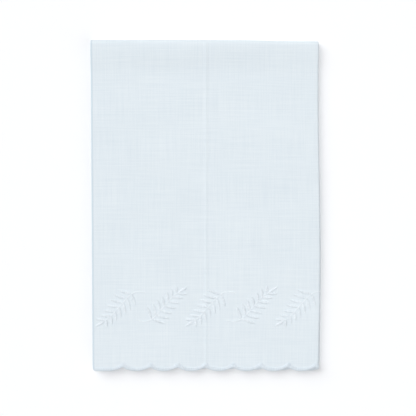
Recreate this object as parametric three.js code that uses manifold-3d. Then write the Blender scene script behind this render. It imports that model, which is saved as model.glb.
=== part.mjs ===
// A pale blue linen hand towel, folded lengthwise and then crosswise, lying flat. Millimetres, +Z up.
//
// The cloth is one sheet with two coordinates. "across" runs from the front hem at the left, round the
// lengthwise fold at the right, to the under hem. "along" is 0 in the middle of the crosswise fold at
// +Y, grows towards the scalloped end that lies on top, and is negative towards the plain end below.
// "lift" is measured from the middle of the cloth towards its right side.
import * as THREE from "three";
import Module from "manifold-3d";

const { clamp, degToRad, lerp, radToDeg, smootherstep } = THREE.MathUtils;

// Driving sizes of the folded towel
const FOLDED_WIDTH = 178;
const FOLDED_LENGTH = 259;
const THICKNESS = 1;
const LAYER_PITCH = 1.8; // from one layer's middle to the next
const ROLL_RADIUS = 2.7; // crosswise fold, to the middle of the doubled cloth
const ROLL_RUN = 26; // length over which that fold settles into flat layers

// Scalloped end, with its satin-stitched rim
const LOBES = 16;
const LOBE_PITCH = 21.67;
const LOBE_DEPTH = 3.2;
const HEM_MARGIN = 1.8; // from each side hem to where the first cusp would be
const CORNER_RADIUS = 3; // the first and last lobes run full to the hem, with a rounded corner
const CORNER_COLUMN = 0.6; // from the hem to a mesh line in that corner
const RIM_WIDTH = 3.2;
const CUSP_WIDENING = 1.4; // of the rim, where two lobes meet
const CUSP_SHARPNESS = 6;
const RIM_STEP = 0.6; // width of the slope from the rim to the cloth
const RIM_RAISE = 0.2; // on each side of the cloth
const SCALLOP_FADE = 14; // distance from the tips at which the scallops no longer bend the mesh
const UNDER_SLIP = 2.6; // by which the under half's end lies short at its hem

// Plain end below
const PLAIN_END_SHORT = 6; // kept back from the tips of the scallops

// Fern sprays on the top layer, each turned half round from the one beside it
const SPRAYS = 5;
const SPRAY_PITCH = 35.1;
const SPRAY_X = 2.4;
const SPRAY_Y = -79;
const STEM = [
  { x: -20.5, y: -10.8 },
  { x: -14.5, y: -11.6 },
  { x: -8.5, y: -8.9 },
  { x: 0, y: 0.2 },
  { x: 7.4, y: 8.2 },
  { x: 12.2, y: 11.4 },
];
const STEM_STEPS = 9;
const STEM_WIDTH = 1.5;
const LEAF_PAIRS = 7;
const FIRST_PAIR = 0.27; // shares of the stem's length
const LAST_PAIR = 0.95;
const LEAF_WIDTH = 3.8; // where it enters the cloth
const LEAF_GAP = 0.7; // from the stem's middle to a leaf's base
const TIP_LEAF = 7;
const LEAF_SIDES = [
  { baseAngle: 110, tipAngle: 95, baseLength: 11, tipLength: 8.2 },
  { baseAngle: -26, tipAngle: 0, baseLength: 13.6, tipLength: 8.4 },
];
const LEAF_STATIONS = [
  { share: 0.3, width: 0.9 },
  { share: 0.68, width: 1 },
];
const THREAD_RAISE = 0.5; // of leaves and stems above the cloth
const THREAD_SINK = 0.25; // by which they are rooted in it
const SHORTEST_RIDGE = 3; // in centres, for one that the lengthwise fold cuts short

// Unevenness of the folded towel
const LOFTS = [
  { x: -45, y: 35, reachX: 45, reachY: 70, lift: 0.7 },
  { x: 48, y: -5, reachX: 45, reachY: 60, lift: 0.6 },
  { x: -30, y: -75, reachX: 50, reachY: 40, lift: 0.4 },
  { x: 75, y: 118, reachX: 45, reachY: 40, lift: -1 },
];
const CREASE_X = 0.5; // pressed crease down the middle
const CREASE_HALF_WIDTH = 3;
const CREASE_LIFT = 0.3;
const LEFT_SLANT = 0.8; // the left side leans out at the top and in at the bottom
const RIGHT_WAVE = 0.7;
const RIGHT_WAVE_PEAK_Y = -35;
const RIGHT_WAVE_LENGTH = 240;
const CORNER_DROP = 1; // the crosswise fold's right end falls short
const UNDER_SKEW = 1.3; // the lowest layer's shift to the right at the scalloped end

// Mesh
const FRONT_LOBE_STEPS = 5;
const UNDER_LOBE_STEPS = 3;
const BEND_STEPS = 6;
const ROLL_STEPS = 9;
const RUN_STEPS = 6;
const FRONT_STEPS = 5;
const BACK_STEPS = 2;

// Derived sizes
const HALF_WIDTH = FOLDED_WIDTH / 2;
const HALF_LENGTH = FOLDED_LENGTH / 2;
const HALF_THICKNESS = THICKNESS / 2;
const HALF_LOBE = LOBE_PITCH / 2;
const LOBE_RADIUS = (HALF_LOBE ** 2 + LOBE_DEPTH ** 2) / (2 * LOBE_DEPTH);
const BEND_RADIUS = LAYER_PITCH / 2; // lengthwise fold, to the middle of the cloth
const BEND_LENGTH = Math.PI * BEND_RADIUS;
const BEND_X = HALF_WIDTH - HALF_THICKNESS - BEND_RADIUS;
const BEND_ACROSS = BEND_X + HALF_WIDTH;
const CLOTH_WIDTH = 2 * HEM_MARGIN + LOBES * LOBE_PITCH;
const ROLL_Y = HALF_LENGTH - HALF_THICKNESS - BEND_RADIUS - ROLL_RADIUS;
const ROLL_HALF_LENGTH = (Math.PI * ROLL_RADIUS) / 2;
const BACK_Z = HALF_THICKNESS + BEND_RADIUS; // middle of the lower pair of layers
const ROLL_Z = BACK_Z + ROLL_RADIUS;
const ROLL_DROP = 2 * ROLL_RADIUS - 2 * LAYER_PITCH;
const STACK_HEIGHT = 3 * LAYER_PITCH + THICKNESS;
const FRONT_END = ROLL_HALF_LENGTH + ROLL_Y + HALF_LENGTH; // "along" at the tips of the scallops
const BACK_END = PLAIN_END_SHORT - FRONT_END;

// The lengthwise fold: x, and the offset from the middle of the doubled cloth.
function lengthwiseFold(across, lift) {
  const radius = BEND_RADIUS + lift;
  const past = across - BEND_ACROSS;
  if (past <= 0) return { x: BEND_X + past, offset: radius };
  if (past >= BEND_LENGTH) return { x: BEND_X + BEND_LENGTH - past, offset: -radius };
  const turn = past / BEND_RADIUS;
  return { x: BEND_X + radius * Math.sin(turn), offset: radius * Math.cos(turn) };
}

// The crosswise fold: a soft roll at +Y, flat underneath and settling towards -Y on top.
function crosswiseFold(along, offset) {
  const past = Math.abs(along) - ROLL_HALF_LENGTH;
  if (past <= 0) {
    const turn = along / ROLL_RADIUS;
    const radius = ROLL_RADIUS + offset;
    return { y: ROLL_Y + radius * Math.cos(turn), z: ROLL_Z + radius * Math.sin(turn) };
  }
  if (along < 0) return { y: ROLL_Y - past, z: BACK_Z - offset };
  const fall = ROLL_DROP * smootherstep(past, 0, ROLL_RUN);
  return { y: ROLL_Y - past, z: ROLL_Z + ROLL_RADIUS - fall + offset };
}

// Height that the lofts and the pressed crease add to the top of the stack.
function loftAt(x, y) {
  const crease = CREASE_LIFT * Math.max(0, 1 - Math.abs(x - CREASE_X) / CREASE_HALF_WIDTH);
  return LOFTS.reduce((sum, loft) => {
    const away = ((x - loft.x) / loft.reachX) ** 2 + ((y - loft.y) / loft.reachY) ** 2;
    return sum + loft.lift * Math.exp(-away);
  }, crease);
}

// Bends space a little, so layers keep their order and the lowest stays flat.
function uneven(x, y, z) {
  const leftShare = Math.max(0, -x / HALF_WIDTH);
  const rightShare = Math.max(0, x / HALF_WIDTH);
  const depth = 1 - z / STACK_HEIGHT;
  const fromRoll = (HALF_LENGTH - y) / FOLDED_LENGTH;
  const wave = Math.cos((2 * Math.PI * (y - RIGHT_WAVE_PEAK_Y)) / RIGHT_WAVE_LENGTH);
  const slant = -LEFT_SLANT * (y / HALF_LENGTH) * leftShare;
  const corner = CORNER_DROP * smootherstep(x, 0, HALF_WIDTH) * smootherstep(y, 0, HALF_LENGTH);
  return new THREE.Vector3(
    x + slant + RIGHT_WAVE * wave * rightShare + UNDER_SKEW * depth * fromRoll,
    y - corner,
    z * (1 + loftAt(x, y) / STACK_HEIGHT),
  );
}

// A point of the cloth in the folded towel.
function place(across, along, lift) {
  const { x, offset } = lengthwiseFold(across, lift);
  const { y, z } = crosswiseFold(along, offset);
  return uneven(x, y, z);
}

// A point on the top layer, from its place in the folded towel's outline.
function onTop(x, y, lift) {
  return place(x + HALF_WIDTH, ROLL_HALF_LENGTH + ROLL_Y - y, lift);
}

// How far a point is from the hem at its side.
function fromHem(across) {
  return Math.min(across, CLOTH_WIDTH - across);
}

// How far a point is from the middle of its lobe, or 0 in the outer halves of the first and last lobes.
function fromLobeMiddle(across) {
  if (fromHem(across) < HEM_MARGIN + HALF_LOBE) return 0;
  const inLobe = (across - HEM_MARGIN) % LOBE_PITCH;
  return inLobe - HALF_LOBE;
}

// How far the scalloped edge is kept back from the tips: round lobes that meet in cusps, and round corners.
function scallop(across) {
  const lobe = LOBE_RADIUS - Math.sqrt(LOBE_RADIUS ** 2 - fromLobeMiddle(across) ** 2);
  const short = Math.max(0, CORNER_RADIUS - fromHem(across));
  const corner = CORNER_RADIUS - Math.sqrt(CORNER_RADIUS ** 2 - short ** 2);
  return lobe + corner;
}

// Width of the satin-stitched rim, which is wider where two lobes meet.
function rimWidth(across) {
  return RIM_WIDTH + CUSP_WIDENING * (fromLobeMiddle(across) / HALF_LOBE) ** CUSP_SHARPNESS;
}

// "along" at a distance from the tips, where the under half slips back towards its hem.
function alongFromEnd(across, distance) {
  const under = clamp((across - BEND_ACROSS) / (CLOTH_WIDTH - BEND_ACROSS), 0, 1);
  const fade = 1 - smootherstep(distance, RIM_WIDTH + CUSP_WIDENING + RIM_STEP, SCALLOP_FADE);
  return FRONT_END - distance - fade * (scallop(across) + UNDER_SLIP * under);
}

// Evenly spaced values from first up to, and without, last.
function steps(first, last, count) {
  return Array.from({ length: count }, (_, i) => lerp(first, last, i / count));
}

// Mesh lines across the cloth: lobes, the lengthwise fold and the crease.
function meshColumns() {
  const lobes = Array.from({ length: LOBES }, (_, lobe) => {
    const start = HEM_MARGIN + lobe * LOBE_PITCH;
    const count = start < BEND_ACROSS ? FRONT_LOBE_STEPS : UNDER_LOBE_STEPS;
    return steps(start, start + LOBE_PITCH, count);
  }).flat();
  const clear = lobes.filter((across) => across < BEND_ACROSS || across > BEND_ACROSS + BEND_LENGTH);
  const bend = [...steps(BEND_ACROSS, BEND_ACROSS + BEND_LENGTH, BEND_STEPS), BEND_ACROSS + BEND_LENGTH];
  const crease = [-CREASE_HALF_WIDTH, 0, CREASE_HALF_WIDTH].map((side) => HALF_WIDTH + CREASE_X + side);
  const hem = [0, CORNER_COLUMN, HEM_MARGIN];
  const hems = [...hem.slice(0, -1), ...hem.map((inside) => CLOTH_WIDTH - inside)];
  return [...clear, ...bend, ...crease, ...hems].sort((a, b) => a - b);
}

// Mesh lines along the cloth, each a function of "across", with the thickness that its face gains.
function meshRows() {
  const plain = (along) => ({ along: () => along, raise: 0 });
  const fromEnd = (distance, raise) => ({ along: (across) => alongFromEnd(across, distance(across)), raise });
  const rollFront = ROLL_HALF_LENGTH + ROLL_RUN;
  return [
    ...steps(BACK_END, -ROLL_HALF_LENGTH, BACK_STEPS).map(plain),
    ...steps(-ROLL_HALF_LENGTH, ROLL_HALF_LENGTH, ROLL_STEPS).map(plain),
    ...steps(ROLL_HALF_LENGTH, rollFront, RUN_STEPS).map(plain),
    ...steps(rollFront, FRONT_END - SCALLOP_FADE, FRONT_STEPS).map(plain),
    fromEnd(() => SCALLOP_FADE, 0),
    fromEnd((across) => rimWidth(across) + RIM_STEP, 0),
    fromEnd(rimWidth, RIM_RAISE),
    fromEnd(() => 0, RIM_RAISE),
  ];
}

// The folded sheet as a closed mesh: its right side, its wrong side and the four edges.
function clothArrays() {
  const columns = meshColumns();
  const rows = meshRows();
  const vertices = [];
  const triangles = [];
  const RIGHT_SIDE = 0;
  const WRONG_SIDE = 1;
  const at = (row, column, side) => (row * columns.length + column) * 2 + side;
  const quad = (a, b, c, d) => triangles.push(a, b, c, a, c, d);
  for (const { along, raise } of rows)
    for (const across of columns)
      for (const lift of [HALF_THICKNESS + raise, -HALF_THICKNESS - raise])
        vertices.push(...place(across, along(across), lift).toArray());
  const lastRow = rows.length - 1;
  const lastColumn = columns.length - 1;
  const face = (row, near, far, side) =>
    quad(at(row, near, side), at(row + 1, near, side), at(row + 1, far, side), at(row, far, side));
  const sideEdge = (row, column, near, far) =>
    quad(at(row, column, near), at(row, column, far), at(row + 1, column, far), at(row + 1, column, near));
  const endEdge = (row, column, near, far) =>
    quad(at(row, column, near), at(row, column, far), at(row, column + 1, far), at(row, column + 1, near));
  for (let row = 0; row < lastRow; row++) {
    for (let column = 0; column < lastColumn; column++) {
      face(row, column, column + 1, RIGHT_SIDE);
      face(row, column + 1, column, WRONG_SIDE);
    }
    sideEdge(row, 0, RIGHT_SIDE, WRONG_SIDE);
    sideEdge(row, lastColumn, WRONG_SIDE, RIGHT_SIDE);
  }
  for (let column = 0; column < lastColumn; column++) {
    endEdge(0, column, WRONG_SIDE, RIGHT_SIDE);
    endEdge(lastRow, column, RIGHT_SIDE, WRONG_SIDE);
  }
  return { vertices, triangles };
}

// A ridge of thread on the top layer, pointed at both ends, along centres that hold x, y and half a width.
function ridgeArrays(centres) {
  const vertices = [];
  const triangles = [];
  const add = (x, y, lift) => {
    vertices.push(...onTop(x, y, HALF_THICKNESS + lift).toArray());
    return vertices.length / 3 - 1;
  };
  const rings = centres.map(({ x, y, half }, i) => {
    if (!half) {
      const end = add(x, y, -THREAD_SINK);
      return { left: end, top: end, right: end };
    }
    const before = centres[i - 1];
    const after = centres[i + 1];
    const run = new THREE.Vector2(after.x - before.x, after.y - before.y).normalize();
    return {
      left: add(x - run.y * half, y + run.x * half, -THREAD_SINK),
      top: add(x, y, THREAD_RAISE),
      right: add(x + run.y * half, y - run.x * half, -THREAD_SINK),
    };
  });
  const triangle = (a, b, c) => {
    if (a !== b && b !== c && c !== a) triangles.push(a, b, c);
  };
  for (let i = 1; i < rings.length; i++) {
    const near = rings[i - 1];
    const far = rings[i];
    for (const [from, to] of [["left", "top"], ["top", "right"], ["right", "left"]]) {
      triangle(near[from], near[to], far[to]);
      triangle(near[from], far[to], far[from]);
    }
  }
  return { vertices, triangles };
}

// One leaf from its base, pointing at an angle in degrees.
function leaf(x, y, angle, length) {
  const turn = degToRad(angle);
  const at = (share, half) => ({
    x: x + Math.cos(turn) * length * share,
    y: y + Math.sin(turn) * length * share,
    half,
  });
  const middle = LEAF_STATIONS.map(({ share, width }) => at(share, (width * LEAF_WIDTH) / 2));
  return [at(0, 0), ...middle, at(1, 0)];
}

// Stem and leaves of one spray about its own centre, with the tip to the upper right.
function sprayRidges() {
  const curve = new THREE.CatmullRomCurve3(STEM.map(({ x, y }) => new THREE.Vector3(x, y, 0)));
  const stem = Array.from({ length: STEM_STEPS + 1 }, (_, i) => {
    const { x, y } = curve.getPointAt(i / STEM_STEPS);
    return { x, y, half: i % STEM_STEPS ? STEM_WIDTH / 2 : 0 };
  });
  const pairs = Array.from({ length: LEAF_PAIRS }, (_, i) => i / (LEAF_PAIRS - 1));
  const leaves = pairs.flatMap((share) =>
    LEAF_SIDES.map(({ baseAngle, tipAngle, baseLength, tipLength }) => {
      const angle = lerp(baseAngle, tipAngle, share);
      const { x, y } = curve.getPointAt(lerp(FIRST_PAIR, LAST_PAIR, share));
      const baseX = x + LEAF_GAP * Math.cos(degToRad(angle));
      const baseY = y + LEAF_GAP * Math.sin(degToRad(angle));
      return leaf(baseX, baseY, angle, lerp(baseLength, tipLength, share));
    }),
  );
  const end = curve.getPointAt(1);
  const heading = curve.getTangentAt(1);
  const tip = leaf(end.x, end.y, radToDeg(Math.atan2(heading.y, heading.x)), TIP_LEAF);
  return [stem, ...leaves, tip];
}

// The part of a ridge that lies on the flat of the top layer, pointed where the lengthwise fold ends it.
function flatPart(ridge) {
  const kept = ridge.filter(({ x }) => Math.abs(x) < BEND_X);
  return kept.map((centre, i) => ({ ...centre, half: i % (kept.length - 1) ? centre.half : 0 }));
}

// All sprays of the border, without what would pass over the lengthwise fold.
function borderRidges() {
  const ridges = sprayRidges();
  return Array.from({ length: SPRAYS }, (_, i) => {
    const centreX = SPRAY_X + (i - (SPRAYS - 1) / 2) * SPRAY_PITCH;
    const turn = i % 2 ? 1 : -1;
    return ridges.map((ridge) =>
      flatPart(ridge.map(({ x, y, half }) => ({ x: centreX + turn * x, y: SPRAY_Y + turn * y, half }))),
    );
  })
    .flat()
    .filter((ridge) => ridge.length >= SHORTEST_RIDGE);
}

// The cloth with its embroidery, joined into one solid.
async function towelGeometry() {
  const wasm = await Module();
  wasm.setup();
  const solid = ({ vertices, triangles }) =>
    new wasm.Manifold(
      new wasm.Mesh({
        numProp: 3,
        vertProperties: new Float32Array(vertices),
        triVerts: new Uint32Array(triangles),
      }),
    );
  const joined = borderRidges().reduce(
    (sum, ridge) => sum.add(solid(ridgeArrays(ridge))),
    solid(clothArrays()),
  );
  const { vertProperties, triVerts } = joined.getMesh();
  const geometry = new THREE.BufferGeometry();
  geometry.setAttribute("position", new THREE.BufferAttribute(vertProperties, 3));
  geometry.setIndex(new THREE.BufferAttribute(triVerts, 1));
  geometry.computeVertexNormals();
  return geometry;
}

const linen = new THREE.MeshStandardMaterial({ color: "#e2ebf1", roughness: 0.9, metalness: 0 });
const towel = new THREE.Mesh(await towelGeometry(), linen);
towel.name = "towel";

const handTowel = new THREE.Group();
handTowel.add(towel);

export default handTowel;
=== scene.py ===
import math

import bpy
import numpy as np
from bpy.props import FloatProperty, FloatVectorProperty, IntProperty, PointerProperty
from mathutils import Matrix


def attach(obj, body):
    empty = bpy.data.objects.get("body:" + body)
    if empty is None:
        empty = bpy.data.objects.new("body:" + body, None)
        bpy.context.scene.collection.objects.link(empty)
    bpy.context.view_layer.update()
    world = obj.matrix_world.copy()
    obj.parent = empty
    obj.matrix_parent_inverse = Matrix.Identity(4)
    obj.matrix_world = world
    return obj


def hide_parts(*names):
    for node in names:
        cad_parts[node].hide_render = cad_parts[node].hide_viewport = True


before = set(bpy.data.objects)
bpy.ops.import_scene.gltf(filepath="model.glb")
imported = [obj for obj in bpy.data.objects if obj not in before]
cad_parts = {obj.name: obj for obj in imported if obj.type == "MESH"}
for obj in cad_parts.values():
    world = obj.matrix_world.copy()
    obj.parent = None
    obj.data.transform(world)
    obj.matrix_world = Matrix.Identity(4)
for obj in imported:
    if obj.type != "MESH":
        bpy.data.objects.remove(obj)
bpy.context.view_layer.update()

bl_info = {
    "name": "Folded Linen Hand Towel",
    "version": (1, 0, 0),
    "blender": (4, 5, 0),
    "location": "3D View > Sidebar > Hand Towel",
    "description": "A pale blue linen hand towel, folded in four, with a scalloped and embroidered end",
    "category": "Add Mesh",
}

MM = 0.001
BODY = "root"
NODE = "towel"
CLOTH_UV = "cloth"
CUSP_SHARPNESS = 6  # how closely the rim's widening keeps to the cusps
HEM_FADE = 1.2  # where a hem's bulk ends, as a share of its width
FIRST_PAIR = 0.27  # shares of a stem's length at which the first and last pairs of leaves stand
LAST_PAIR = 0.95

# A spray's stem about the spray's own centre, in millimetres, with its tip to the upper right.
STEM_MM = (
    {"x": -20.5, "y": -10.8},
    {"x": -14.5, "y": -11.6},
    {"x": -8.5, "y": -8.9},
    {"x": 0.0, "y": 0.2},
    {"x": 7.4, "y": 8.2},
    {"x": 12.2, "y": 11.4},
)
# Leaves above and below a stem, from those near its base to those near its tip: degrees and millimetres.
LEAF_SIDES = (
    {"base_angle": 110, "tip_angle": 95, "base_mm": 9.2, "tip_mm": 5.0},
    {"base_angle": -16, "tip_angle": -2, "base_mm": 10.4, "tip_mm": 7.0},
)
# Soft lofts of the folded stack: place, reach and height, in millimetres.
LOFTS_MM = (
    {"x": -45, "y": 35, "reach_x": 45, "reach_y": 70, "lift": 0.7},
    {"x": 48, "y": -5, "reach_x": 45, "reach_y": 60, "lift": 0.6},
    {"x": -30, "y": -75, "reach_x": 50, "reach_y": 40, "lift": 0.4},
    {"x": 75, "y": 118, "reach_x": 45, "reach_y": 40, "lift": -1.0},
)
# Faint ripples left by the iron: length, heading in degrees and height, in millimetres.
RIPPLES_MM = (
    {"length": 61, "heading": 14, "height": 0.10},
    {"length": 37, "heading": 102, "height": 0.07},
    {"length": 23, "heading": 71, "height": 0.035},
    {"length": 17, "heading": 158, "height": 0.025},
)
# Kinds of stitch: how far apart they are, the thread's width and height, their slant and unevenness.
STITCHES = {
    "leaf": {"spacing_mm": 0.42, "thread_mm": 0.5, "height_mm": 0.4, "slant": 24, "uneven": 0.08, "seed": 3},
    "stem": {"spacing_mm": 0.8, "thread_mm": 0.62, "height_mm": 0.3, "slant": 76, "uneven": 0.05, "seed": 5},
    "rim": {"spacing_mm": 0.45, "thread_mm": 0.56, "height_mm": 0.8, "slant": 4, "uneven": 0.05, "seed": 7},
    "hem": {"spacing_mm": 2.4, "thread_mm": 0.28, "height_mm": 0.1, "slant": 90, "uneven": 0.06, "seed": 11},
}
# Soft lights, with the directions that they come from and their spread, in degrees.
LIGHTS = (
    {"name": "top_light", "azimuth": 135, "elevation": 86, "spread": 16},
    {"name": "side_light", "azimuth": 135, "elevation": 42, "spread": 56},
    {"name": "fill_light", "azimuth": 315, "elevation": 34, "spread": 60},
)


def mm_size(name, millimetres, description):
    """A length that is stated in millimetres and kept in metres."""
    return FloatProperty(
        name=name, description=description, default=millimetres * MM, unit="LENGTH", precision=5
    )


def strength(name, value, description):
    """A light's strength."""
    return FloatProperty(name=name, description=description, default=value, min=0)


def linear(srgb_hex):
    """An sRGB hex colour as linear red, green and blue."""
    values = [int(srgb_hex[i : i + 2], 16) / 255 for i in (1, 3, 5)]
    return tuple(v / 12.92 if v <= 0.04045 else ((v + 0.055) / 1.055) ** 2.4 for v in values)


def colour(name, srgb_hex, description):
    """A colour that is stated as sRGB hex and kept linear."""
    return FloatVectorProperty(
        name=name, description=description, default=linear(srgb_hex), size=3, min=0, max=1, subtype="COLOR"
    )


class TowelFolds(bpy.types.PropertyGroup):
    """Sizes of the folded towel."""

    folded_width: mm_size("Folded width", 178, "From the hems at the left to the fold at the right")
    folded_length: mm_size("Folded length", 259, "From the tips of the scallops to the crosswise fold")
    thickness: mm_size("Cloth", 0.7, "Thickness of the linen")
    layer_pitch: mm_size("Layer pitch", 1.8, "From one layer's middle to the next")
    roll_radius: mm_size("Roll radius", 2.7, "Crosswise fold, to the middle of the doubled cloth")
    roll_run: mm_size("Roll run", 26, "Length over which the crosswise fold settles into flat layers")
    plain_end_short: mm_size("Plain end", 6, "How far the plain end below is kept back from the scallops")
    hem_width: mm_size("Hem width", 3, "Width of the rolled hems at the sides")
    hem_bulk: mm_size("Hem bulk", 0.45, "Thickness that a rolled hem adds on the wrong side")
    crease_x: mm_size("Crease place", 0.5, "Where the pressed crease runs, to the right of the middle")
    crease_width: mm_size("Crease width", 1.2, "Half the width of the pressed crease")
    crease_lift: mm_size("Crease height", 0.26, "Height of the pressed crease")
    left_slant: mm_size("Left slant", 0.8, "How far the left side leans out at the top and in at the bottom")
    right_wave: mm_size("Right wave", 0.7, "How far the lengthwise fold wanders")
    right_wave_peak: mm_size("Right wave peak", -35, "Where along the towel the fold stands out most")
    right_wave_length: mm_size("Right wave length", 240, "Length of one such wave")
    corner_drop: mm_size("Corner drop", 1, "How far the crosswise fold's right end falls short")
    under_skew: mm_size("Under skew", 1.3, "Shift of the lowest layer to the right at the scalloped end")


class TowelScallops(bpy.types.PropertyGroup):
    """Sizes of the scalloped end."""

    lobes: IntProperty(name="Lobes", description="Scallops over the whole cloth", default=16, min=1)
    lobe_pitch: mm_size("Lobe pitch", 21.67, "From one cusp to the next")
    lobe_depth: mm_size("Lobe depth", 3.2, "From the tips to the cusps")
    hem_margin: mm_size("Hem margin", 1.8, "From each side hem to where the first cusp would be")
    corner: mm_size("Corner radius", 3, "Rounding of the first and last lobes at the hems")
    rim_width: mm_size("Rim width", 3.2, "Width of the satin-stitched rim")
    cusp_widening: mm_size("Cusp widening", 1.4, "Width that the rim gains where two lobes meet")
    fade: mm_size("Fade", 14, "Distance from the tips at which the weave's rows run straight")
    under_slip: mm_size("Under slip", 2.6, "How far the under half's end lies short at its hem")


class TowelFerns(bpy.types.PropertyGroup):
    """Sizes of the embroidered fern sprays."""

    sprays: IntProperty(name="Sprays", description="Fern sprays on the face that shows", default=5, min=1)
    spray_pitch: mm_size("Spray pitch", 35.1, "From one spray's middle to the next")
    spray_x: mm_size("Row across", 2.4, "Middle of the row, to the right of the towel's middle")
    spray_y: mm_size("Row along", -79, "Middle of the row, above the towel's middle")
    leaf_pairs: IntProperty(name="Leaf pairs", description="Pairs of leaves on a stem", default=7, min=2)
    leaf_width: mm_size("Leaf width", 3.0, "Width of a leaf at its widest")
    leaf_gap: mm_size("Leaf gap", 0.5, "From the stem's middle to a leaf's base")
    tip_leaf: mm_size("Tip leaf", 7, "Length of the leaf at a stem's tip")


class TowelColours(bpy.types.PropertyGroup):
    """Colours of the cloth and its thread."""

    linen: colour("Linen", "#dae4eb", "Yarn of the cloth")
    linen_slub: colour("Linen slub", "#e5edf2", "Thick places of the yarn")
    # Painted shade: a deeper tone for the hems' edges, standing in for the shade where the rolled edge turns
    # down away from the light
    linen_hem_shade: colour("Linen hem", "#d0dce5", "Edge of the hems, where doubled cloth lets less light through")
    thread: colour("Thread", "#edf3f8", "Thread of the ferns")
    thread_shade: colour("Thread shade", "#e0e8ee", "Darkest thread of the ferns")
    rim_thread: colour("Rim thread", "#e6edf3", "Thread of the rim and the hems")
    rim_shade: colour("Rim thread shade", "#dbe4eb", "Darkest thread of the rim and the hems")


class TowelStage(bpy.types.PropertyGroup):
    """Floor, light and camera."""

    floor: colour("Floor", "#f9fafc", "Pale floor")
    floor_size: FloatProperty(name="Floor size", description="Side of the floor", default=60.0, unit="LENGTH")
    view_width: mm_size("View width", 325, "Width of what the camera takes in, at the towel's face")
    view_x: mm_size("View middle across", 2.0, "Middle of the view, to the right of the towel's middle")
    view_y: mm_size("View middle along", -2.0, "Middle of the view, above the towel's middle")
    lens: FloatProperty(name="Lens", description="Focal length in millimetres", default=100)
    top_light: strength("Top light", 1.12, "Strength of the soft light from above")
    side_light: strength("Side light", 1.94, "Strength of the soft light from the upper left")
    fill_light: strength("Fill light", 0.62, "Strength of the soft light from the lower right")
    sky: strength("Surroundings", 0.17, "Strength of the light from the white surroundings")


class HandTowel(bpy.types.PropertyGroup):
    """All settings of the hand towel."""

    folds: PointerProperty(type=TowelFolds)
    scallops: PointerProperty(type=TowelScallops)
    ferns: PointerProperty(type=TowelFerns)
    colours: PointerProperty(type=TowelColours)
    stage: PointerProperty(type=TowelStage)


def smoother(value, low, high):
    """Goes from 0 at low to 1 at high, with level ends."""
    share = np.clip((value - low) / (high - low), 0, 1)
    return share**3 * (share * (share * 6 - 15) + 10)


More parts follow.
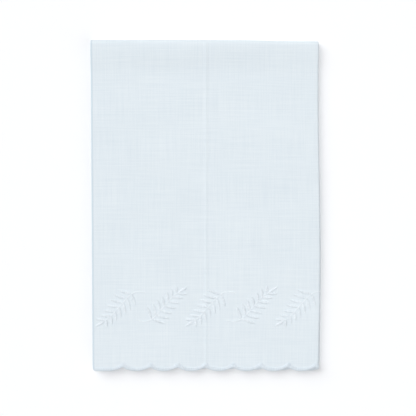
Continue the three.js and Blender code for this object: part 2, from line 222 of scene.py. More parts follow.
class FoldedCloth:
    """Where each point of the flat cloth lies in the folded towel.

    across runs from the front hem, round the lengthwise fold, to the under hem. along is 0 in the middle of
    the crosswise fold, grows towards the scalloped end on top and is negative towards the plain end below.
    lift goes from the middle of the cloth to its right side.
    """

    def __init__(self, towel):
        self.folds = towel.folds
        self.scallops = towel.scallops
        folds = self.folds
        self.half_width = folds.folded_width / 2
        self.half_length = folds.folded_length / 2
        self.half_thickness = folds.thickness / 2
        self.bend_radius = folds.layer_pitch / 2
        self.bend_length = math.pi * self.bend_radius
        self.bend_x = self.half_width - self.half_thickness - self.bend_radius
        self.bend_across = self.bend_x + self.half_width
        self.width = 2 * self.scallops.hem_margin + self.scallops.lobes * self.scallops.lobe_pitch
        self.roll_y = self.half_length - self.half_thickness - self.bend_radius - folds.roll_radius
        self.roll_half = math.pi * folds.roll_radius / 2
        self.back_z = self.half_thickness + self.bend_radius
        self.roll_z = self.back_z + folds.roll_radius
        self.roll_drop = 2 * folds.roll_radius - 2 * folds.layer_pitch
        self.height = 3 * folds.layer_pitch + folds.thickness
        self.front_end = self.roll_half + self.roll_y + self.half_length
        self.back_end = folds.plain_end_short - self.front_end

    def lengthwise_fold(self, across, lift):
        """x, and the offset from the middle of the doubled cloth."""
        radius = self.bend_radius + lift
        past = across - self.bend_across
        turn = np.clip(past, 0, self.bend_length) / self.bend_radius
        beyond = past - np.clip(past, 0, self.bend_length)
        away = np.where(past < 0, beyond, -beyond)
        return self.bend_x + radius * np.sin(turn) + away, radius * np.cos(turn)

    def crosswise_fold(self, along, offset):
        """y and z: a soft roll at the top, flat underneath and settling downwards on top."""
        folds = self.folds
        turn = np.clip(along, -self.roll_half, self.roll_half) / folds.roll_radius
        past = np.maximum(np.abs(along) - self.roll_half, 0)
        radius = folds.roll_radius + offset
        fall = np.where(along > 0, self.roll_drop * smoother(past, 0, folds.roll_run), 0)
        return self.roll_y + radius * np.cos(turn) - past, self.roll_z + radius * np.sin(turn) - fall

    def loft(self, x, y):
        """Height that lofts, ripples and the pressed crease add to the top of the stack."""
        folds = self.folds
        total = folds.crease_lift * np.exp(-(((x - folds.crease_x) / folds.crease_width) ** 2))
        for row in LOFTS_MM:
            away_x = (x / MM - row["x"]) / row["reach_x"]
            away_y = (y / MM - row["y"]) / row["reach_y"]
            total = total + row["lift"] * MM * np.exp(-(away_x**2) - away_y**2)
        for row in RIPPLES_MM:
            heading = math.radians(row["heading"])
            run = (x * math.cos(heading) + y * math.sin(heading)) / (row["length"] * MM)
            total = total + row["height"] * MM * np.sin(2 * math.pi * run)
        return total

    def uneven(self, x, y, z):
        """Bends space a little, so that layers keep their order and the lowest stays flat."""
        folds = self.folds
        left_share = np.maximum(0, -x / self.half_width)
        right_share = np.maximum(0, x / self.half_width)
        wave = np.cos(2 * math.pi * (y - folds.right_wave_peak) / folds.right_wave_length)
        skew = folds.under_skew * (1 - z / self.height) * (self.half_length - y) / folds.folded_length
        slant = -folds.left_slant * y / self.half_length * left_share
        corner = folds.corner_drop * smoother(x, 0, self.half_width) * smoother(y, 0, self.half_length)
        new_x = x + slant + folds.right_wave * wave * right_share + skew
        return np.stack([new_x, y - corner, z * (1 + self.loft(x, y) / self.height)], axis=-1)

    def place(self, across, along, lift):
        """Points of the cloth in the folded towel."""
        across, along, lift = np.broadcast_arrays(across, along, lift)
        x, offset = self.lengthwise_fold(across, lift)
        y, z = self.crosswise_fold(along, offset)
        return self.uneven(x, y, z)

    def normal(self, across, along):
        """Directions that point out of the cloth's right side."""
        right_side = self.place(across, along, self.half_thickness)
        out = right_side - self.place(across, along, -self.half_thickness)
        return out / np.linalg.norm(out, axis=-1, keepdims=True)

    def from_face(self, x, y):
        """across and along of points in the outline of the face that shows."""
        return x + self.half_width, self.roll_half + self.roll_y - y

    def from_hem(self, across):
        """How far points are from the hem at their side."""
        return np.minimum(across, self.width - across)

    def from_lobe_middle(self, across):
        """How far points are from the middle of their lobe, or 0 in the outer halves of the end lobes."""
        sizes = self.scallops
        half_lobe = sizes.lobe_pitch / 2
        inside = (across - sizes.hem_margin) % sizes.lobe_pitch - half_lobe
        return np.where(self.from_hem(across) < sizes.hem_margin + half_lobe, 0, inside)

    def scallop(self, across):
        """How far the edge is kept back from the tips: round lobes that meet in cusps, and round corners."""
        sizes = self.scallops
        half_lobe = sizes.lobe_pitch / 2
        radius = (half_lobe**2 + sizes.lobe_depth**2) / (2 * sizes.lobe_depth)
        lobe = radius - np.sqrt(radius**2 - self.from_lobe_middle(across) ** 2)
        short = np.maximum(0, sizes.corner - self.from_hem(across))
        return lobe + sizes.corner - np.sqrt(sizes.corner**2 - short**2)

    def rim_width(self, across):
        """Width of the satin-stitched rim, which is wider where two lobes meet."""
        sizes = self.scallops
        share = self.from_lobe_middle(across) / (sizes.lobe_pitch / 2)
        return sizes.rim_width + sizes.cusp_widening * share**CUSP_SHARPNESS

    def along_from_end(self, across, distance):
        """along at a distance from the scalloped edge, where the under half slips back towards its hem."""
        sizes = self.scallops
        under = np.clip((across - self.bend_across) / (self.width - self.bend_across), 0, 1)
        fade = 1 - smoother(distance, sizes.rim_width + sizes.cusp_widening, sizes.fade)
        return self.front_end - distance - fade * (self.scallop(across) + sizes.under_slip * under)


def lines_between(stops, pitches):
    """Mesh lines through each stop, at most so far apart between one stop and the next."""
    values = [np.array([stops[0]])]
    for low, high, pitch in zip(stops[:-1], stops[1:], pitches):
        count = max(1, math.ceil(abs(high - low) / pitch))
        values.append(np.linspace(low, high, count + 1)[1:])
    return np.concatenate(values)


def add_node(tree, kind, settings=None, **inputs):
    """Adds a node with its settings, and sets or links its inputs by name, or by number as in_0."""
    made = tree.nodes.new(kind)
    for key, value in (settings or {}).items():
        setattr(made, key, value)
    for key, value in inputs.items():
        name = key.replace("_", " ")
        socket = made.inputs[int(name[3:])] if name.startswith("in ") else made.inputs[name]
        if isinstance(value, bpy.types.NodeSocket):
            tree.links.new(value, socket)
        else:
            socket.default_value = value
    return made


def new_material(name):
    """An empty material, with its node tree."""
    material = bpy.data.materials.new(name)
    material.use_nodes = True
    material.node_tree.nodes.clear()
    return material, material.node_tree


def plain_woven_linen(colours, cloth):
    """Plain-woven linen, washed and pressed: matt, with slubs where the hand-like yarn is thick."""
    yarn = 0.6 * MM  # coarser than most linen yarn, so that the weave shows
    wave_turn = 2 * math.pi / 20  # length of one band of a wave texture at scale 1
    slub_width = 1.1 * MM
    slub_length = 34 * MM
    cloud = 45 * MM
    cloud_share = 0.5
    darkest_tone = 0.7
    lightest_tone = 1.8
    slub_relief = 0.8
    shaded_hem_edge = 1.5 * MM
    material, tree = new_material("plain woven linen")
    uv = add_node(tree, "ShaderNodeUVMap", {"uv_map": CLOTH_UV}).outputs["UV"]
    # Yarns that pass over and under each other: a fine even tooth in the light
    yarns = [
        add_node(tree, "ShaderNodeTexWave", {"bands_direction": way}, Vector=uv, Scale=wave_turn / yarn)
        for way in ("X", "Y")
    ]
    over = add_node(tree, "ShaderNodeTexChecker", None, Vector=uv, Scale=1 / yarn)
    weave = add_node(
        tree, "ShaderNodeMix", {"data_type": "FLOAT"}, in_0=over.outputs["Fac"],
        in_2=yarns[0].outputs["Fac"], in_3=yarns[1].outputs["Fac"],
    ).outputs[0]
    # Slubs along both yarns: the faint, broken lines that make linen look like linen
    slubs = []
    for across, along in ((slub_length, slub_width), (slub_width, slub_length)):
        stretched = add_node(tree, "ShaderNodeMapping", None, Vector=uv, Scale=(1 / across, 1 / along, 1))
        noise = add_node(
            tree, "ShaderNodeTexNoise", {"noise_dimensions": "2D"}, Vector=stretched.outputs[0], Scale=1.0,
            Detail=2.0, Roughness=0.6,
        )
        slubs.append(noise.outputs["Fac"])
    both = add_node(tree, "ShaderNodeMath", {"operation": "ADD"}, in_0=slubs[0], in_1=slubs[1]).outputs[0]
    # Broad clouds: the cloth is not quite the same tone all over
    clouds = add_node(
        tree, "ShaderNodeTexNoise", {"noise_dimensions": "2D"}, Vector=uv, Scale=1 / cloud, Detail=3.0
    ).outputs["Fac"]
    tone = add_node(
        tree, "ShaderNodeMath", {"operation": "MULTIPLY_ADD"}, in_0=clouds, in_1=cloud_share, in_2=both
    ).outputs[0]
    share = add_node(
        tree, "ShaderNodeMapRange", None, Value=tone, From_Min=darkest_tone, From_Max=lightest_tone
    ).outputs[0]
    toned = add_node(
        tree, "ShaderNodeMix", {"data_type": "RGBA"}, in_0=share, in_6=(*colours.linen, 1),
        in_7=(*colours.linen_slub, 1),
    ).outputs[2]
    # Painted shade along the hems' edges: a thin, slightly deeper line at the left side, standing in for the
    # shade where the rolled edge turns away from the light
    middle = cloth.width / 2
    inside = add_node(
        tree, "ShaderNodeMath", {"operation": "COMPARE"}, in_1=middle, in_2=middle - shaded_hem_edge,
        in_0=add_node(tree, "ShaderNodeSeparateXYZ", None, Vector=uv).outputs["X"],
    ).outputs[0]
    with_hem_shade = add_node(
        tree, "ShaderNodeMix", {"data_type": "RGBA"}, in_0=inside, in_6=(*colours.linen_hem_shade, 1), in_7=toned
    ).outputs[2]
    relief = add_node(
        tree, "ShaderNodeMath", {"operation": "MULTIPLY_ADD"}, in_0=both, in_1=slub_relief, in_2=weave
    ).outputs[0]
    bump = add_node(
        tree, "ShaderNodeBump", None, Strength=0.35, Distance=0.12 * MM, Height=relief
    ).outputs[0]
    shader = add_node(
        tree, "ShaderNodeBsdfPrincipled", None, Base_Color=with_hem_shade, Roughness=0.9, IOR=1.53, Normal=bump,
        Specular_IOR_Level=0.15, Sheen_Weight=0.03, Sheen_Roughness=0.5,
    )
    add_node(tree, "ShaderNodeOutputMaterial", None, Surface=shader.outputs[0])
    return material


def satin_thread(name, light, dark):
    """Mercerised cotton thread in satin stitch: close to the cloth's own tone, with a soft silky gloss."""
    strand = 0.12 * MM
    if name in bpy.data.materials:
        return bpy.data.materials[name]
    material, tree = new_material(name)
    place = add_node(tree, "ShaderNodeTexCoord").outputs["Object"]
    shade = add_node(tree, "ShaderNodeAttribute", {"attribute_name": "thread_shade"}).outputs["Fac"]
    mixed = add_node(
        tree, "ShaderNodeMix", {"data_type": "RGBA"}, in_0=shade, in_6=(*light, 1), in_7=(*dark, 1),
    ).outputs[2]
    strands = add_node(tree, "ShaderNodeTexNoise", None, Vector=place, Scale=1 / strand, Detail=2.0)
    bump = add_node(
        tree, "ShaderNodeBump", None, Strength=0.25, Distance=0.05 * MM, Height=strands.outputs["Fac"]
    ).outputs[0]
    shader = add_node(
        tree, "ShaderNodeBsdfPrincipled", None, Base_Color=mixed, Roughness=0.5, IOR=1.53, Normal=bump,
        Sheen_Weight=0.1,
    )
    add_node(tree, "ShaderNodeOutputMaterial", None, Surface=shader.outputs[0])
    return material


def fern_thread(colours):
    """Thread of the ferns: a little lighter than the cloth, so that the leaves stand out softly."""
    return satin_thread("fern thread", colours.thread, colours.thread_shade)


def rim_thread(colours):
    """Thread of the rim and the hems: as the cloth, so that they read as its own edge."""
    return satin_thread("rim thread", colours.rim_thread, colours.rim_shade)


def painted_floor(stage):
    """Matt white painted board: an even pale ground with a very faint grain."""
    grain = 3 * MM
    material, tree = new_material("matt painted board")
    place = add_node(tree, "ShaderNodeTexCoord").outputs["Object"]
    noise = add_node(tree, "ShaderNodeTexNoise", None, Vector=place, Scale=1 / grain, Detail=2.0)
    bump = add_node(
        tree, "ShaderNodeBump", None, Strength=0.05, Distance=0.05 * MM, Height=noise.outputs["Fac"]
    ).outputs[0]
    shader = add_node(
        tree, "ShaderNodeBsdfPrincipled", None, Base_Color=(*stage.floor, 1), Roughness=0.9, Normal=bump,
        Specular_IOR_Level=0.1,
    )
    add_node(tree, "ShaderNodeOutputMaterial", None, Surface=shader.outputs[0])
    return material


STITCH_INPUTS = (
    {"name": "Spacing", "kind": "NodeSocketFloat"},
    {"name": "Thread Width", "kind": "NodeSocketFloat"},
    {"name": "Thread Height", "kind": "NodeSocketFloat"},
    {"name": "Slant", "kind": "NodeSocketFloat"},
    {"name": "Unevenness", "kind": "NodeSocketFloat"},
    {"name": "Seed", "kind": "NodeSocketInt"},
    {"name": "Material", "kind": "NodeSocketMaterial"},
)


def stitch_tree():
    """Geometry Nodes that sew a stitch across each step of the lines they are given."""
    name = "stitches along a line"
    if name in bpy.data.node_groups:
        return bpy.data.node_groups[name]
    tree = bpy.data.node_groups.new(name, "GeometryNodeTree")
    tree.is_modifier = True
    tree.interface.new_socket("Geometry", in_out="INPUT", socket_type="NodeSocketGeometry")
    tree.interface.new_socket("Geometry", in_out="OUTPUT", socket_type="NodeSocketGeometry")
    for row in STITCH_INPUTS:
        tree.interface.new_socket(row["name"], in_out="INPUT", socket_type=row["kind"])
    given = tree.nodes.new("NodeGroupInput").outputs
    lines = add_node(tree, "GeometryNodeMeshToCurve", None, Mesh=given["Geometry"])
    points = add_node(
        tree, "GeometryNodeResampleCurve", {"mode": "LENGTH"}, Curve=lines.outputs[0], Length=given["Spacing"]
    )
    out = add_node(
        tree, "GeometryNodeInputNamedAttribute", {"data_type": "FLOAT_VECTOR"}, Name="cloth_normal"
    )
    half = add_node(tree, "GeometryNodeInputNamedAttribute", {"data_type": "FLOAT"}, Name="half_width")
    tangent = add_node(tree, "GeometryNodeInputTangent")
    upright = add_node(
        tree, "FunctionNodeAlignRotationToVector", {"axis": "Z"}, Vector=out.outputs["Attribute"]
    )
    facing = add_node(
        tree, "FunctionNodeAlignRotationToVector", {"axis": "X", "pivot_axis": "Z"},
        Rotation=upright.outputs[0], Vector=tangent.outputs[0],
    )
    less = add_node(tree, "ShaderNodeMath", {"operation": "MULTIPLY"}, in_0=given["Unevenness"], in_1=-1.0)
    stray = add_node(
        tree, "FunctionNodeRandomValue", {"data_type": "FLOAT"}, in_2=less.outputs[0],
        in_3=given["Unevenness"], Seed=given["Seed"],
    ).outputs[1]
    slant = add_node(tree, "ShaderNodeMath", {"operation": "ADD"}, in_0=given["Slant"], in_1=stray)
    turn = add_node(tree, "ShaderNodeCombineXYZ", None, Z=slant.outputs[0])
    turned = add_node(tree, "FunctionNodeEulerToRotation", None, Euler=turn.outputs[0])
    rotation = add_node(
        tree, "FunctionNodeRotateRotation", {"rotation_space": "LOCAL"}, Rotation=facing.outputs[0],
        in_1=turned.outputs[0],
    )
    half_thread = add_node(
        tree, "ShaderNodeMath", {"operation": "MULTIPLY"}, in_0=given["Thread Width"], in_1=0.5
    )
    reach = add_node(tree, "ShaderNodeMath", {"operation": "ADD"}, in_0=1.0, in_1=stray)
    length = add_node(
        tree, "ShaderNodeMath", {"operation": "MULTIPLY"}, in_0=half.outputs["Attribute"],
        in_1=reach.outputs[0],
    )
    scale = add_node(
        tree, "ShaderNodeCombineXYZ", None, X=half_thread.outputs[0], Y=length.outputs[0],
        Z=given["Thread Height"],
    )
    ball = add_node(tree, "GeometryNodeMeshUVSphere", None, Segments=8, Rings=6, Radius=1.0)
    stitch = add_node(
        tree, "GeometryNodeTransform", None, Geometry=ball.outputs[0], Rotation=(math.pi / 2, 0, 0)
    )
    sewn = add_node(
        tree, "GeometryNodeInstanceOnPoints", None, Points=points.outputs[0], Instance=stitch.outputs[0],
        Rotation=rotation.outputs[0], Scale=scale.outputs[0],
    )
    tint = add_node(tree, "FunctionNodeRandomValue", {"data_type": "FLOAT"}, Seed=given["Seed"])
    shaded = add_node(
        tree, "GeometryNodeStoreNamedAttribute", {"data_type": "FLOAT", "domain": "INSTANCE"},
        Geometry=sewn.outputs[0], Name="thread_shade", Value=tint.outputs[1],
    )
    real = add_node(tree, "GeometryNodeRealizeInstances", None, Geometry=shaded.outputs[0])
    smooth = add_node(tree, "GeometryNodeSetShadeSmooth", None, Geometry=real.outputs[0])
    finished = add_node(
        tree, "GeometryNodeSetMaterial", None, Geometry=smooth.outputs[0], Material=given["Material"]
    )
    add_node(tree, "NodeGroupOutput", None, Geometry=finished.outputs[0])
    return tree


def quads(*corners):
    """Four-sided faces from arrays of their first, second, third and fourth corners."""
    return np.stack(corners, axis=-1).reshape(-1, len(corners))


def new_object(name, data):
    """Links a mesh, light or camera to the scene as an object at the origin."""
    made = bpy.data.objects.new(name, data)
    bpy.context.scene.collection.objects.link(made)
    return made


def sew(name, lines, values):
    """Sews stitches along lines, which hold points, directions out of the cloth and half lengths."""
    mesh = bpy.data.meshes.new(name)
    points = np.concatenate([line["points"] for line in lines])
    edges = []
    start = 0
    for line in lines:
        count = len(line["points"])
        edges += [(i, i + 1) for i in range(start, start + count - 1)]
        start += count
    mesh.from_pydata(points.tolist(), edges, [])
    normals = np.concatenate([line["normals"] for line in lines])
    halves = np.concatenate([line["halves"] for line in lines])
    mesh.attributes.new("cloth_normal", "FLOAT_VECTOR", "POINT").data.foreach_set("vector", normals.ravel())
    mesh.attributes.new("half_width", "FLOAT", "POINT").data.foreach_set("value", halves)
    made = new_object(name, mesh)
    tree = stitch_tree()
    modifier = made.modifiers.new("stitches", "NODES")
    modifier.node_group = tree
    for item in tree.interface.items_tree:
        if item.in_out == "INPUT" and item.name in values:
            modifier[item.identifier] = values[item.name]
    evaluated = made.evaluated_get(bpy.context.evaluated_depsgraph_get())
    sewn = bpy.data.meshes.new_from_object(evaluated)
    made.modifiers.remove(modifier)
    made.data = sewn
    sewn.name = name
    bpy.data.meshes.remove(mesh)
    if not sewn.polygons:
        raise RuntimeError(f"{name}: no stitches were sewn")
    return made


def stitch_values(kind, thread):
    """The inputs that sew one kind of stitch."""
    row = STITCHES[kind]
    return {
        "Spacing": row["spacing_mm"] * MM,
        "Thread Width": row["thread_mm"] * MM,
        "Thread Height": row["height_mm"] * MM,
        "Slant": math.radians(row["slant"]),
        "Unevenness": row["uneven"],
        "Seed": row["seed"],
        "Material": thread,
    }


def join_to_towel(piece):
    """Makes a piece part of the towel."""
    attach(piece, BODY)


def line_on_cloth(cloth, across, along, lift, halves):
    """A line of stitches on the cloth, at a lift from its middle."""
    across, along = np.broadcast_arrays(across, along)
    return {
        "points": cloth.place(across, along, lift),
        "normals": cloth.normal(across, along),
        "halves": np.broadcast_to(halves, across.shape).astype(float),
    }


def line_on_face(cloth, points, halves):
    """A line of stitches on the face that shows, through points of its outline."""
    across, along = cloth.from_face(points[:, 0], points[:, 1])
    return line_on_cloth(cloth, across, along, cloth.half_thickness, halves)


def stem_points(count):
    """Points along a stem at even distances, and their headings."""
    knots = np.array([(row["x"], row["y"]) for row in STEM_MM]) * MM
    ends = np.concatenate([[2 * knots[0] - knots[1]], knots, [2 * knots[-1] - knots[-2]]])
    steps_between = 24
    t = np.linspace(0, 1, steps_between, endpoint=False)[:, None]
    fine = []
    for before, start, end, after in zip(ends, ends[1:], ends[2:], ends[3:]):
        straight = (end - before) * t
        square = (2 * before - 5 * start + 4 * end - after) * t**2
        cube = (3 * start - before - 3 * end + after) * t**3
        fine.append(start + (straight + square + cube) / 2)
    path = np.concatenate([*fine, knots[-1:]])
    steps = np.linalg.norm(np.diff(path, axis=0), axis=1)
    run = np.concatenate([[0], np.cumsum(steps)]) / steps.sum()
    shares = np.linspace(0, 1, count)
    points = np.stack([np.interp(shares, run, path[:, i]) for i in (0, 1)], axis=1)
    return points, np.gradient(points, axis=0)


def leaf_spines(ferns):
    """Base, angle and length of each leaf of a spray about its own centre."""
    samples = 200
    points, headings = stem_points(samples + 1)
    spines = []
    for i in range(ferns.leaf_pairs):
        share = i / (ferns.leaf_pairs - 1)
        at = points[round((FIRST_PAIR + (LAST_PAIR - FIRST_PAIR) * share) * samples)]
        for side in LEAF_SIDES:
            angle = math.radians(side["base_angle"] + (side["tip_angle"] - side["base_angle"]) * share)
            length = (side["base_mm"] + (side["tip_mm"] - side["base_mm"]) * share) * MM
            way = np.array([math.cos(angle), math.sin(angle)])
            spines.append({"base": at + way * ferns.leaf_gap, "way": way, "length": length})
    end = headings[-1] / np.linalg.norm(headings[-1])
    spines.append({"base": points[-1], "way": end, "length": ferns.tip_leaf})
    return spines


def leaf_halves(ferns, shares):
    """Half a leaf's width along its length: blunt at both ends, and widest a little before its middle."""
    base = 0.06
    span = 0.9
    lean = 0.9
    fullness = 0.6
    return np.sin(math.pi * (base + span * shares**lean)) ** fullness * ferns.leaf_width / 2


def spray_places(ferns):
    """Centre and turn of each spray: every other one is turned half round."""
    for i in range(ferns.sprays):
        x = ferns.spray_x + (i - (ferns.sprays - 1) / 2) * ferns.spray_pitch
        yield np.array([x, ferns.spray_y]), 1 if i % 2 else -1


class HANDTOWEL_OT_ferns(bpy.types.Operator):
    """Sews the fern sprays: satin-stitched leaves on stem-stitched stems"""

    bl_idname = "hand_towel.ferns"
    bl_label = "Fern Sprays"

    def execute(self, context):
        towel = context.scene.hand_towel
        cloth = FoldedCloth(towel)
        ferns = towel.ferns
        thread = fern_thread(towel.colours)
        leaf_steps = 9
        stem_steps = 40
        half_stem_stitch = 1.1 * MM
        shares = np.linspace(0, 1, leaf_steps)
        halves = leaf_halves(ferns, shares)
        stem_path, _ = stem_points(stem_steps)
        leaves = []
        stems = []
        for centre, turn in spray_places(ferns):
            for spine in leaf_spines(ferns):
                path = spine["base"] + spine["way"] * (spine["length"] * shares)[:, None]
                leaves.append(line_on_face(cloth, centre + turn * path, halves))
            stems.append(line_on_face(cloth, centre + turn * stem_path, half_stem_stitch))
        join_to_towel(sew("fern_leaves", leaves, stitch_values("leaf", thread)))
        join_to_towel(sew("fern_stems", stems, stitch_values("stem", thread)))
        return {"FINISHED"}


class HANDTOWEL_OT_rim(bpy.types.Operator):
    """Sews the satin-stitched rim round the scallops"""

    bl_idname = "hand_towel.rim"
    bl_label = "Scalloped Rim"

    def execute(self, context):
        towel = context.scene.hand_towel
        cloth = FoldedCloth(towel)
        sizes = towel.scallops
        steps_in_lobe = 24
        overhang = 1.08  # length of a stitch as a share of the rim's width, to wrap its edge
        lobes = np.arange(sizes.lobes * steps_in_lobe + 1) / steps_in_lobe
        across = lobes * sizes.lobe_pitch + sizes.hem_margin
        half = cloth.rim_width(across) / 2
        rim = line_on_cloth(cloth, across, cloth.along_from_end(across, half), 0.0, half * overhang)
        join_to_towel(sew("scallop_rim", [rim], stitch_values("rim", rim_thread(towel.colours))))
        return {"FINISHED"}


class HANDTOWEL_OT_hem_stitches(bpy.types.Operator):
    """Sews the fine running stitches of the side hems and of the plain end's hem"""

    bl_idname = "hand_towel.hem_stitches"
    bl_label = "Hem Stitches"

    def execute(self, context):
        towel = context.scene.hand_towel
        cloth = FoldedCloth(towel)
        inset = towel.folds.hem_width
        clear_of_rim = 3 * inset
        points = 400
        half = 0.75 * MM
        sunk = 0.05 * MM
        lift = cloth.half_thickness - sunk
        along = np.linspace(cloth.back_end + inset, cloth.front_end - clear_of_rim, points)
        across = np.linspace(inset, cloth.width - inset, points)
        hems = [
            line_on_cloth(cloth, inset, along, lift, half),
            line_on_cloth(cloth, cloth.width - inset, along, lift, half),
            line_on_cloth(cloth, across, cloth.back_end + inset, lift, half),
        ]
        join_to_towel(sew("hem_stitches", hems, stitch_values("hem", rim_thread(towel.colours))))
        return {"FINISHED"}


class HANDTOWEL_OT_cloth(bpy.types.Operator):
    """Makes the linen as one folded sheet, with its rolled hems"""

    bl_idname = "hand_towel.cloth"
    bl_label = "Folded Linen"

    def mesh_lines(self, cloth):
        """Mesh lines across and along the cloth, finer on the face that shows."""
        folds = cloth.folds
        sizes = cloth.scallops
        fine = 1.65 * MM
        coarse = 3.7 * MM
        hidden = 6.5 * MM
        edge = 0.35 * MM
        under_edge = 0.7 * MM
        near_rim = 1.2 * MM
        rim = 0.8 * MM
        bend = cloth.bend_length / 10
        roll = cloth.roll_half / 9
        crease = cloth.half_width + folds.crease_x
        crease_half = 2 * folds.crease_width
        hem = HEM_FADE * folds.hem_width
        across = lines_between(
            [0, sizes.hem_margin, hem, crease - crease_half, crease + crease_half, cloth.bend_across,
             cloth.bend_across + cloth.bend_length, cloth.width - hem, cloth.width],
            [edge, edge, fine, folds.crease_width / 2.5, fine, bend, coarse, under_edge],
        )
        along = lines_between(
            [cloth.back_end, cloth.back_end + hem, -cloth.roll_half, cloth.roll_half,
             cloth.front_end - sizes.fade],
            [under_edge, hidden, roll, fine],
        )
        from_end = lines_between([sizes.fade, sizes.rim_width, 0], [near_rim, rim])[1:]
        return across, along, from_end

    def lifts(self, cloth, across, along):
        """Lifts of the right and wrong sides: even cloth, with a rounded, thicker hem along its edges."""
        folds = cloth.folds
        round_edge = 0.6 * MM
        thinnest = 0.02
        inside = np.minimum(cloth.from_hem(across), along - cloth.back_end)
        short = 1 - np.clip(inside / round_edge, 0, 1)
        rounding = np.sqrt(np.clip(1 - short**2, thinnest, 1))
        bulk = folds.hem_bulk * (1 - smoother(inside, folds.hem_width, HEM_FADE * folds.hem_width))
        return cloth.half_thickness * rounding, -(cloth.half_thickness + bulk) * rounding

    def execute(self, context):
        towel = context.scene.hand_towel
        cloth = FoldedCloth(towel)
        columns, plain_rows, from_end = self.mesh_lines(cloth)
        across = np.broadcast_to(columns, (len(plain_rows) + len(from_end), len(columns)))
        along = np.concatenate([
            np.broadcast_to(plain_rows[:, None], (len(plain_rows), len(columns))),
            np.stack([cloth.along_from_end(columns, distance) for distance in from_end]),
        ])
        sides = [cloth.place(across, along, lift) for lift in self.lifts(cloth, across, along)]
        points = np.concatenate([side.reshape(-1, 3) for side in sides])
        rows, count = across.shape
        right = np.arange(rows * count).reshape(rows, count)
        wrong = right + rows * count
        edge_loops = [
            (right[:, 0], wrong[:, 0]),
            (wrong[:, -1], right[:, -1]),
            (wrong[0], right[0]),
            (right[-1], wrong[-1]),
        ]
        faces = [
            quads(right[:-1, :-1], right[1:, :-1], right[1:, 1:], right[:-1, 1:]),
            quads(wrong[:-1, 1:], wrong[1:, 1:], wrong[1:, :-1], wrong[:-1, :-1]),
            *[np.stack([a[:-1], b[:-1], b[1:], a[1:]], axis=-1) for a, b in edge_loops],
        ]
        mesh = bpy.data.meshes.new("towel_cloth")
        mesh.from_pydata(points.tolist(), [], np.concatenate(faces).tolist())
        mesh.update()
        on_cloth = np.tile(np.stack([across, along], axis=-1).reshape(-1, 2), (2, 1))
        corners = np.empty(len(mesh.loops), dtype=np.int32)
        mesh.loops.foreach_get("vertex_index", corners)
        mesh.uv_layers.new(name=CLOTH_UV).data.foreach_set("uv", on_cloth[corners].ravel())
        mesh.shade_smooth()
        mesh.materials.append(plain_woven_linen(towel.colours, cloth))
        piece = new_object("towel_cloth", mesh)
        join_to_towel(piece)
        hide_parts(NODE)
        return {"FINISHED"}


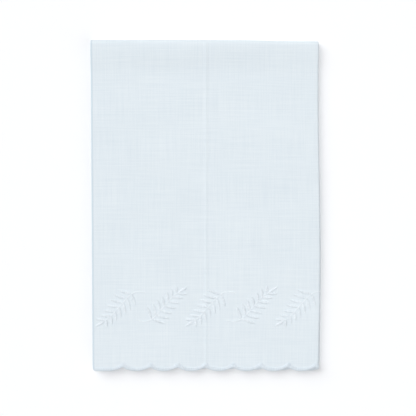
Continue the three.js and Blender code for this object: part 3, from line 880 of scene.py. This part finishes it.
class HANDTOWEL_OT_stage(bpy.types.Operator):
    """Sets the floor, the soft light and the camera that looks straight down"""

    bl_idname = "hand_towel.stage"
    bl_label = "Stage"

    def add_floor(self, stage):
        half = stage.floor_size / 2
        mesh = bpy.data.meshes.new("floor")
        corners = [(-half, -half, 0), (half, -half, 0), (half, half, 0), (-half, half, 0)]
        mesh.from_pydata(corners, [], [range(len(corners))])
        mesh.materials.append(painted_floor(stage))
        new_object("floor", mesh)

    def add_lights(self, stage):
        """Soft lights, each as wide as a large sheet of diffuser, and white surroundings."""
        for row in LIGHTS:
            light = bpy.data.lights.new(row["name"], "SUN")
            light.energy = getattr(stage, row["name"])
            light.angle = math.radians(row["spread"])
            made = new_object(row["name"], light)
            made.rotation_euler = (math.radians(90 - row["elevation"]), 0, math.radians(row["azimuth"] - 270))
        world = bpy.data.worlds.new("white surroundings")
        world.use_nodes = True
        tree = world.node_tree
        tree.nodes.clear()
        # The camera sees the surroundings pure white, while they light the towel only faintly
        white = (1, 1, 1, 1)
        lighting = add_node(tree, "ShaderNodeBackground", None, Color=white, Strength=stage.sky)
        seen = add_node(tree, "ShaderNodeBackground", None, Color=white, Strength=1.0)
        looked_at = add_node(tree, "ShaderNodeLightPath").outputs["Is Camera Ray"]
        both = add_node(
            tree, "ShaderNodeMixShader", None, in_0=looked_at, in_1=lighting.outputs[0], in_2=seen.outputs[0]
        )
        add_node(tree, "ShaderNodeOutputWorld", None, Surface=both.outputs[0])
        bpy.context.scene.world = world

    def add_camera(self, stage, cloth):
        camera = bpy.data.cameras.new("camera")
        camera.sensor_fit = "HORIZONTAL"
        camera.lens = stage.lens
        made = new_object("camera", camera)
        distance = stage.view_width * camera.lens / camera.sensor_width
        made.location = (stage.view_x, stage.view_y, cloth.height + distance)
        bpy.context.scene.camera = made

    def execute(self, context):
        towel = context.scene.hand_towel
        self.add_floor(towel.stage)
        self.add_lights(towel.stage)
        self.add_camera(towel.stage, FoldedCloth(towel))
        context.scene.view_settings.view_transform = "Standard"
        return {"FINISHED"}


class HANDTOWEL_PT_panel(bpy.types.Panel):
    """Lists the towel's pieces and settings"""

    bl_idname = "HANDTOWEL_PT_panel"
    bl_label = "Hand Towel"
    bl_space_type = "VIEW_3D"
    bl_region_type = "UI"
    bl_category = "Hand Towel"

    def draw(self, context):
        towel = context.scene.hand_towel
        for operator in OPERATORS:
            self.layout.operator(operator.bl_idname)
        for group in (towel.folds, towel.scallops, towel.ferns, towel.colours, towel.stage):
            box = self.layout.box()
            for name in group.bl_rna.properties.keys():
                if name not in {"rna_type", "name"}:
                    box.prop(group, name)


# In this order: the stitches first, then the sheet, then the floor, light and camera.
OPERATORS = (
    HANDTOWEL_OT_ferns, HANDTOWEL_OT_rim, HANDTOWEL_OT_hem_stitches, HANDTOWEL_OT_cloth, HANDTOWEL_OT_stage,
)
SETTINGS = (TowelFolds, TowelScallops, TowelFerns, TowelColours, TowelStage, HandTowel)
CLASSES = (*SETTINGS, *OPERATORS, HANDTOWEL_PT_panel)


def register():
    for cls in CLASSES:
        bpy.utils.register_class(cls)
    bpy.types.Scene.hand_towel = PointerProperty(type=HandTowel)


def unregister():
    del bpy.types.Scene.hand_towel
    for cls in reversed(CLASSES):
        bpy.utils.unregister_class(cls)


def main():
    register()
    bpy.ops.hand_towel.ferns()
    bpy.ops.hand_towel.rim()
    bpy.ops.hand_towel.hem_stitches()
    bpy.ops.hand_towel.cloth()
    bpy.ops.hand_towel.stage()


if __name__ == "__main__":
    main()
